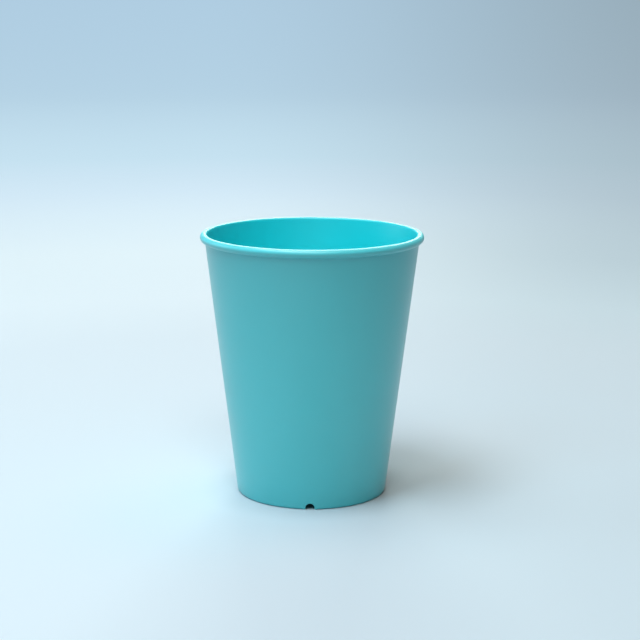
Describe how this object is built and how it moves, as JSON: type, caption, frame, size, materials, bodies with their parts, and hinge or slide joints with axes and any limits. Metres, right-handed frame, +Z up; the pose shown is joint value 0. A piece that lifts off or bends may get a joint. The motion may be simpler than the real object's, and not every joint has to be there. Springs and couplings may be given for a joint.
{
  "type": "reusable plastic drinking cup",
  "caption": "Tapered drinking cup moulded in one piece, with a solid rounded bead at the mouth, a raised floor and a foot ring with arched drain notches.",
  "frame": {"origin": "centre of the foot ring's lower edge, on the table", "axes": "+Z up along the cup's axis, through the mouth; the drain notch that faces the viewer is at -Y"},
  "size_m": [0.09, 0.09, 0.1066],
  "materials": {
    "cup_plastic": "satin turquoise moulded plastic, a little glossier inside"
  },
  "bodies": {
    "root": {"cup": "cup_plastic"}
  },
  "joints": []
}
